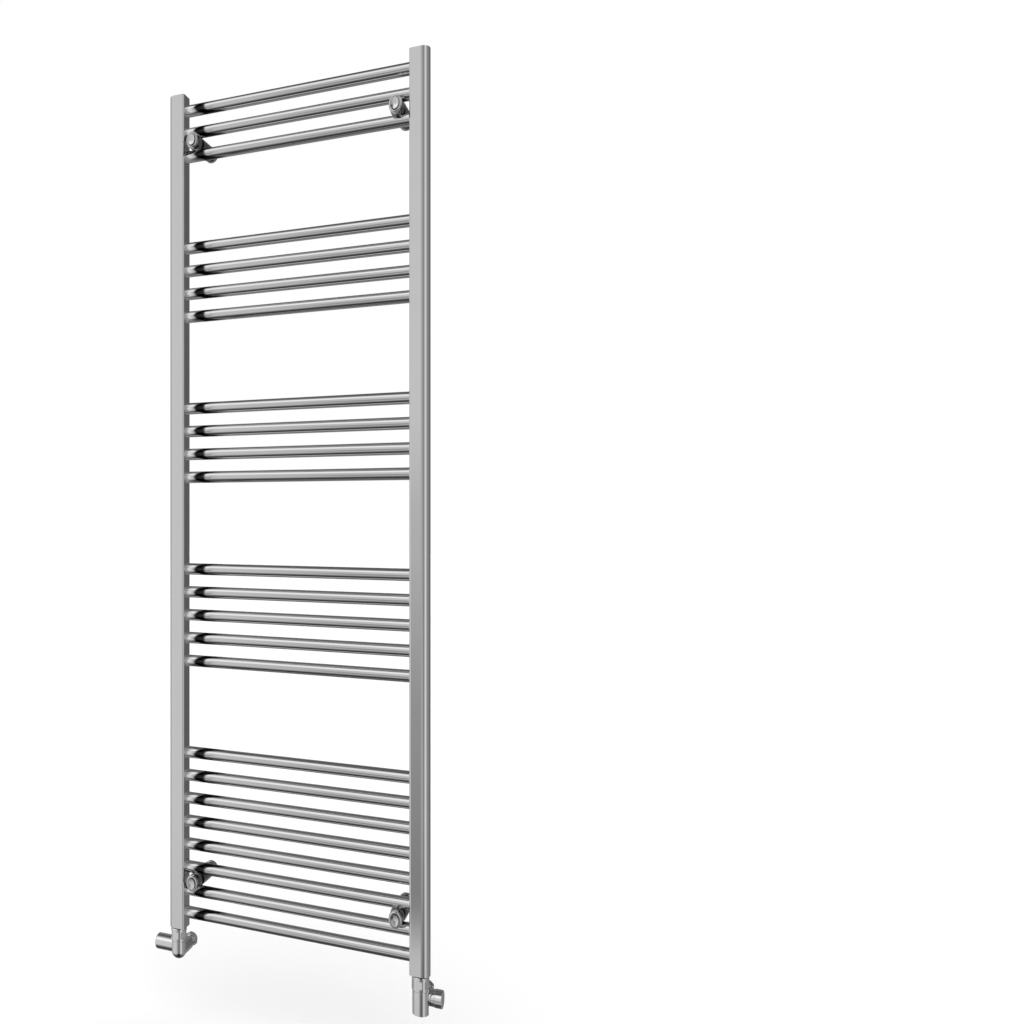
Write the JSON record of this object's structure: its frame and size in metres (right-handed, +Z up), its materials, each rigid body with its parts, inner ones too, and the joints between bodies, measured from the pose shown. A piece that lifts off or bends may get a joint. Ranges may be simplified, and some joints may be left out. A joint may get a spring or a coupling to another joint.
{
  "type": "towel radiator with valves",
  "caption": "Tall chrome ladder towel radiator on adjustable wall brackets, with a corner handwheel valve and a corner lockshield valve fitted below its uprights.",
  "frame": {"origin": "on the wall, midway between the four wall fixings", "axes": "+X along the width, -Y out of the wall to the front, +Z up along the uprights"},
  "size_m": [0.5574, 0.0965, 1.6676],
  "materials": {
    "upright_chrome": "mirror chrome plate on steel",
    "rung_chrome": "mirror chrome plate on steel tube",
    "plate_steel": "plated steel, in from the tube's end",
    "bracket_metal": "dark polished chrome",
    "bracket_chrome": "polished chrome",
    "valve_chrome": "bright chrome plate on brass",
    "brass": "machined brass",
    "copper": "bare copper, softly polished",
    "rubber": "black sealing rubber",
    "screw_steel": "zinc-plated steel"
  },
  "bodies": {
    "wall_fixings": {"upper_left_wall_spigot": "bracket_metal", "upper_right_wall_spigot": "bracket_metal", "lower_left_wall_spigot": "bracket_metal", "lower_right_wall_spigot": "bracket_metal"},
    "radiator": {"air_vent_plug": "valve_chrome", "air_vent_seal": "rubber", "blanking_plug": "valve_chrome", "blanking_plug_seal": "rubber", "bracket_clamp_screws": "screw_steel", "bracket_grub_screws": "screw_steel", "bracket_screw_covers": "bracket_chrome", "handwheel_valve_body": "valve_chrome", "handwheel_valve_compression_nut": "valve_chrome", "handwheel_valve_headwork": "brass", "handwheel_valve_olive": "copper", "handwheel_valve_tail": "valve_chrome", "handwheel_valve_tail_seal": "rubber", "left_lower_end_plate": "plate_steel", "left_upper_end_plate": "plate_steel", "left_upright": "upright_chrome", "lockshield_valve_body": "valve_chrome", "lockshield_valve_compression_nut": "valve_chrome", "lockshield_valve_headwork": "brass", "lockshield_valve_olive": "copper", "lockshield_valve_tail": "valve_chrome", "lockshield_valve_tail_seal": "rubber", "lower_left_bracket_arm": "bracket_metal", "lower_left_front_clamp": "bracket_chrome", "lower_right_bracket_arm": "bracket_metal", "lower_right_front_clamp": "bracket_chrome", "right_lower_end_plate": "plate_steel", "right_upper_end_plate": "plate_steel", "right_upright": "upright_chrome", "rung_bank_1": "rung_chrome", "rung_bank_2": "rung_chrome", "rung_bank_3": "rung_chrome", "rung_bank_4": "rung_chrome", "rung_bank_5": "rung_chrome", "upper_left_bracket_arm": "bracket_metal", "upper_left_front_clamp": "bracket_chrome", "upper_right_bracket_arm": "bracket_metal", "upper_right_front_clamp": "bracket_chrome"},
    "handwheel": {"handwheel": "valve_chrome", "handwheel_disc": "valve_chrome", "handwheel_screw": "screw_steel", "handwheel_valve_spindle": "brass", "handwheel_valve_spindle_seal": "rubber"},
    "handwheel_jumper": {"handwheel_valve_jumper": "brass", "handwheel_valve_jumper_washer": "rubber"},
    "lockshield_cap": {"lockshield_cap": "valve_chrome"},
    "lockshield_spindle": {"lockshield_valve_spindle": "brass", "lockshield_valve_spindle_seal": "rubber"},
    "lockshield_jumper": {"lockshield_valve_jumper": "brass", "lockshield_valve_jumper_washer": "rubber"},
    "bleed_screw": {"bleed_screw": "valve_chrome"}
  },
  "joints": [
    {"name": "bracket_reach", "type": "slide", "parent": "wall_fixings", "child": "radiator", "axis": [0, -1, 0], "range_m": [-0.005, 0.015]},
    {"name": "handwheel_turn", "type": "hinge", "parent": "radiator", "child": "handwheel", "pos_m": [-0.233, -0.046, -0.8481], "axis": [-1, 0, 0], "range_deg": [0, 1260]},
    {"name": "handwheel_jumper_lift", "type": "slide", "parent": "radiator", "child": "handwheel_jumper", "axis": [-1, 0, 0], "range_m": [0, 0.0053]},
    {"name": "lockshield_cap_pull", "type": "slide", "parent": "radiator", "child": "lockshield_cap", "axis": [1, 0, 0], "range_m": [0, 0.03]},
    {"name": "lockshield_turn", "type": "hinge", "parent": "radiator", "child": "lockshield_spindle", "pos_m": [0.233, -0.046, -0.8481], "axis": [1, 0, 0], "range_deg": [0, 1261]},
    {"name": "lockshield_jumper_lift", "type": "slide", "parent": "radiator", "child": "lockshield_jumper", "axis": [1, 0, 0], "range_m": [0, 0.00525]},
    {"name": "bleed_screw_turn", "type": "hinge", "parent": "radiator", "child": "bleed_screw", "pos_m": [-0.233, -0.068, 0.79], "axis": [0, 0, 1], "range_deg": [0, 360]}
  ],
  "couplings": [
    {"joint": "handwheel_jumper_lift", "follows": "handwheel_turn", "m_per_rad": 0.00023873},
    {"joint": "lockshield_turn", "follows": "lockshield_jumper_lift", "rad_per_m": 4188.8}
  ]
}
